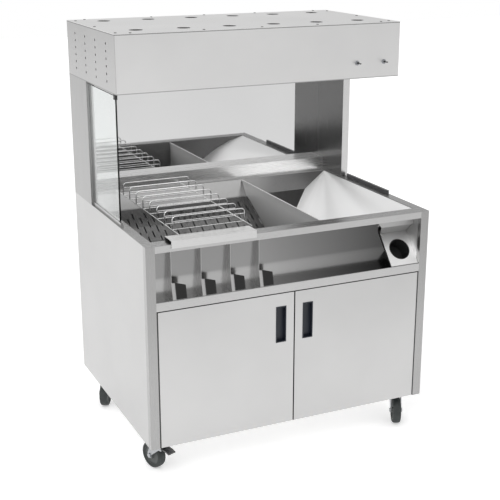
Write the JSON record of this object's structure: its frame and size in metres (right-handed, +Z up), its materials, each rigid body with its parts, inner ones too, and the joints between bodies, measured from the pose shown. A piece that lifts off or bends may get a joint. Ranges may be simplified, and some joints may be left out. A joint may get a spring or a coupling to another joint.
{
  "type": "heated snack serving station",
  "caption": "Stainless steel heated serving and bagging cart: slotted basin, dump ramp, carton rack, mirror back, lamp hood and cabinet on castors.",
  "frame": {"origin": "centre of the station's plan at floor level", "axes": "+Z up, front with the doors towards -Y, +X to the right seen from the front"},
  "size_m": [1.1, 0.826, 1.522],
  "materials": {
    "stainless": "bead blasted, slightly warm light grey",
    "bright_rail": "fine horizontal brushing, brighter than the panels",
    "wire": "polished wire",
    "mirror": "polished steel mirror",
    "glass": "clear toughened glass",
    "black_plastic": "fine satin",
    "zinc": "bright zinc plate",
    "tyre": "dark grey rubber",
    "quartz": "quartz heat tube"
  },
  "bodies": {
    "station": {"basin_trough": "stainless", "basket_rest_bar": "black_plastic", "cabinet_back_panel": "stainless", "cabinet_floor": "stainless", "carton_divider_1": "stainless", "carton_divider_2": "stainless", "carton_divider_3": "stainless", "carton_divider_4": "stainless", "carton_stops": "black_plastic", "castor_plates": "zinc", "dump_ramp": "stainless", "gantry_back_panel": "stainless", "gantry_post_left": "stainless", "gantry_post_right": "stainless", "glass_channel": "stainless", "glass_clip": "black_plastic", "glass_pane": "glass", "heat_lamps": "quartz", "hinge_fixed_leaves": "stainless", "hood_screws": "stainless", "hood_shell": "stainless", "hood_top_cover": "stainless", "hood_underside": "stainless", "lamp_reflectors": "bright_rail", "left_front_post": "stainless", "left_side_panel": "stainless", "lower_front_rail": "bright_rail", "mirror_panel": "mirror", "power_inlet": "black_plastic", "rear_upstand": "bright_rail", "recess_tray": "stainless", "right_front_post": "stainless", "right_side_panel": "stainless", "shaker_cup": "black_plastic", "shaker_holder": "bright_rail", "slotted_screen": "stainless", "toggle_bushes": "zinc", "top_front_rail": "bright_rail", "worktop_frame": "bright_rail"},
    "door_left": {"door_left": "stainless", "door_left_pull": "black_plastic", "hinge_left_door_leaf": "stainless"},
    "door_right": {"door_right": "stainless", "door_right_pull": "black_plastic", "hinge_right_door_leaf": "stainless"},
    "toggle_lever_left": {"toggle_lever_left": "zinc"},
    "toggle_lever_right": {"toggle_lever_right": "zinc"},
    "basin_divider": {"basin_divider": "stainless"},
    "rack": {"carton_rack": "wire", "rack_bracket": "bright_rail"},
    "castor_fork_front_left": {"castor_fork_front_left": "zinc"},
    "castor_wheel_front_left": {"castor_wheel_front_left": "tyre"},
    "brake_pedal_front_left": {"brake_pedal_front_left": "zinc"},
    "castor_fork_front_right": {"castor_fork_front_right": "zinc"},
    "castor_wheel_front_right": {"castor_wheel_front_right": "tyre"},
    "brake_pedal_front_right": {"brake_pedal_front_right": "zinc"},
    "castor_fork_rear_left": {"castor_fork_rear_left": "zinc"},
    "castor_wheel_rear_left": {"castor_wheel_rear_left": "tyre"},
    "castor_fork_rear_right": {"castor_fork_rear_right": "zinc"},
    "castor_wheel_rear_right": {"castor_wheel_rear_right": "tyre"}
  },
  "joints": [
    {"name": "door_left_hinge", "type": "hinge", "parent": "station", "child": "door_left", "pos_m": [-0.5145, -0.41, 0.378], "axis": [0, 0, -1], "range_deg": [0, 110]},
    {"name": "door_right_hinge", "type": "hinge", "parent": "station", "child": "door_right", "pos_m": [0.5145, -0.41, 0.378], "axis": [0, 0, 1], "range_deg": [0, 110]},
    {"name": "toggle_left_tip", "type": "hinge", "parent": "station", "child": "toggle_lever_left", "pos_m": [0.372, -0.164, 1.378], "axis": [1, 0, 0], "range_deg": [-13, 13]},
    {"name": "toggle_right_tip", "type": "hinge", "parent": "station", "child": "toggle_lever_right", "pos_m": [0.485, -0.164, 1.378], "axis": [1, 0, 0], "range_deg": [-13, 13]},
    {"name": "divider_lift", "type": "slide", "parent": "station", "child": "basin_divider", "axis": [0, 0, 1], "range_m": [0, 0.2]},
    {"name": "rack_lift", "type": "slide", "parent": "station", "child": "rack", "axis": [0, 0, 1], "range_m": [0, 0.15]},
    {"name": "castor_front_left_swivel", "type": "hinge", "parent": "station", "child": "castor_fork_front_left", "pos_m": [-0.49, -0.331, 0.108], "axis": [0, 0, 1], "continuous": true},
    {"name": "castor_front_left_roll", "type": "hinge", "parent": "castor_fork_front_left", "child": "castor_wheel_front_left", "pos_m": [-0.50197, -0.29811, 0.05], "axis": [0.9397, 0.342, 0], "continuous": true},
    {"name": "brake_pedal_front_left_press", "type": "hinge", "parent": "castor_fork_front_left", "child": "brake_pedal_front_left", "pos_m": [-0.48248, -0.35167, 0.096], "axis": [0.9397, 0.342, 0], "range_deg": [0, 15]},
    {"name": "castor_front_right_swivel", "type": "hinge", "parent": "station", "child": "castor_fork_front_right", "pos_m": [0.49, -0.331, 0.108], "axis": [0, 0, 1], "continuous": true},
    {"name": "castor_front_right_roll", "type": "hinge", "parent": "castor_fork_front_right", "child": "castor_wheel_front_right", "pos_m": [0.47521, -0.36272, 0.05], "axis": [-0.9063, 0.4226, 0], "continuous": true},
    {"name": "brake_pedal_front_right_press", "type": "hinge", "parent": "castor_fork_front_right", "child": "brake_pedal_front_right", "pos_m": [0.4993, -0.31106, 0.096], "axis": [-0.9063, 0.4226, 0], "range_deg": [0, 15]},
    {"name": "castor_rear_left_swivel", "type": "hinge", "parent": "station", "child": "castor_fork_rear_left", "pos_m": [-0.49, 0.292, 0.108], "axis": [0, 0, 1], "continuous": true},
    {"name": "castor_rear_left_roll", "type": "hinge", "parent": "castor_fork_rear_left", "child": "castor_wheel_rear_left", "pos_m": [-0.5075, 0.26169, 0.05], "axis": [-0.866, 0.5, 0], "continuous": true},
    {"name": "castor_rear_right_swivel", "type": "hinge", "parent": "station", "child": "castor_fork_rear_right", "pos_m": [0.49, 0.292, 0.108], "axis": [0, 0, 1], "continuous": true},
    {"name": "castor_rear_right_roll", "type": "hinge", "parent": "castor_fork_rear_right", "child": "castor_wheel_rear_right", "pos_m": [0.51007, 0.26333, 0.05], "axis": [-0.8192, -0.5736, 0], "continuous": true}
  ]
}
